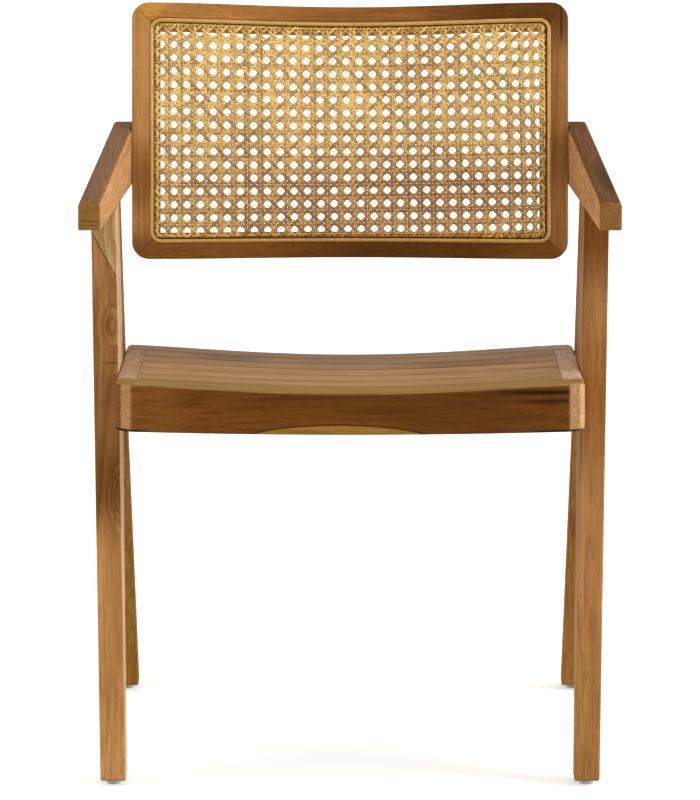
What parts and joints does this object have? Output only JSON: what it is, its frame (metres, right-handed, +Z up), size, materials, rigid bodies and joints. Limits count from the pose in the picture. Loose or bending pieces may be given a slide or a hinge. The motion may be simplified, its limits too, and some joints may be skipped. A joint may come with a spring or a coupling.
{
  "type": "cane-back armchair",
  "caption": "Teak armchair with upturned-V side frames, straight tapered arms, a dished plank seat and a gently curved framed cane back.",
  "frame": {"origin": "on the floor, under the middle of the chair's bounding box", "axes": "+X to the viewer's right as one faces the chair, +Y from its front to its back, +Z up"},
  "size_m": [0.5998, 0.516, 0.8233],
  "materials": {
    "leg_teak": "oiled teak, satin",
    "arm_teak": "oiled teak, greyed a little on top, satin",
    "seat_teak": "oiled teak boards, satin",
    "apron_teak": "darker oiled teak with a strip of sapwood",
    "frame_teak": "oiled teak, satin",
    "cane": "woven cane, natural gloss",
    "cane_spline": "round reed pressed into the groove",
    "dowel_beech": "plain beech, hidden",
    "glide_nylon": "grey nylon"
  },
  "bodies": {
    "root": {"back_bottom_rail": "frame_teak", "back_left_stile": "frame_teak", "back_right_stile": "frame_teak", "back_top_rail": "frame_teak", "cane_panel": "cane", "cane_spline": "cane_spline", "left_arm_dowel_1": "dowel_beech", "left_arm_dowel_2": "dowel_beech", "left_armrest": "arm_teak", "left_back_dowel_1": "dowel_beech", "left_back_dowel_2": "dowel_beech", "left_front_corner_dowel": "dowel_beech", "left_front_glide": "glide_nylon", "left_front_leg": "leg_teak", "left_front_rail_dowel_1": "dowel_beech", "left_front_rail_dowel_2": "dowel_beech", "left_leg_joint_dowel_1": "dowel_beech", "left_leg_joint_dowel_2": "dowel_beech", "left_lower_mitre_dowel": "dowel_beech", "left_rear_corner_dowel": "dowel_beech", "left_rear_glide": "glide_nylon", "left_rear_leg": "leg_teak", "left_rear_rail_dowel_1": "dowel_beech", "left_rear_rail_dowel_2": "dowel_beech", "left_seat_side_rail": "seat_teak", "left_upper_mitre_dowel": "dowel_beech", "right_arm_dowel_1": "dowel_beech", "right_arm_dowel_2": "dowel_beech", "right_armrest": "arm_teak", "right_back_dowel_1": "dowel_beech", "right_back_dowel_2": "dowel_beech", "right_front_corner_dowel": "dowel_beech", "right_front_glide": "glide_nylon", "right_front_leg": "leg_teak", "right_front_rail_dowel_1": "dowel_beech", "right_front_rail_dowel_2": "dowel_beech", "right_leg_joint_dowel_1": "dowel_beech", "right_leg_joint_dowel_2": "dowel_beech", "right_lower_mitre_dowel": "dowel_beech", "right_rear_corner_dowel": "dowel_beech", "right_rear_glide": "glide_nylon", "right_rear_leg": "leg_teak", "right_rear_rail_dowel_1": "dowel_beech", "right_rear_rail_dowel_2": "dowel_beech", "right_seat_side_rail": "seat_teak", "right_upper_mitre_dowel": "dowel_beech", "seat_front_rail": "apron_teak", "seat_rear_rail": "seat_teak", "seat_slat_1": "seat_teak", "seat_slat_2": "seat_teak", "seat_slat_3": "seat_teak", "seat_slat_4": "seat_teak", "seat_slat_5": "seat_teak"}
  },
  "joints": []
}
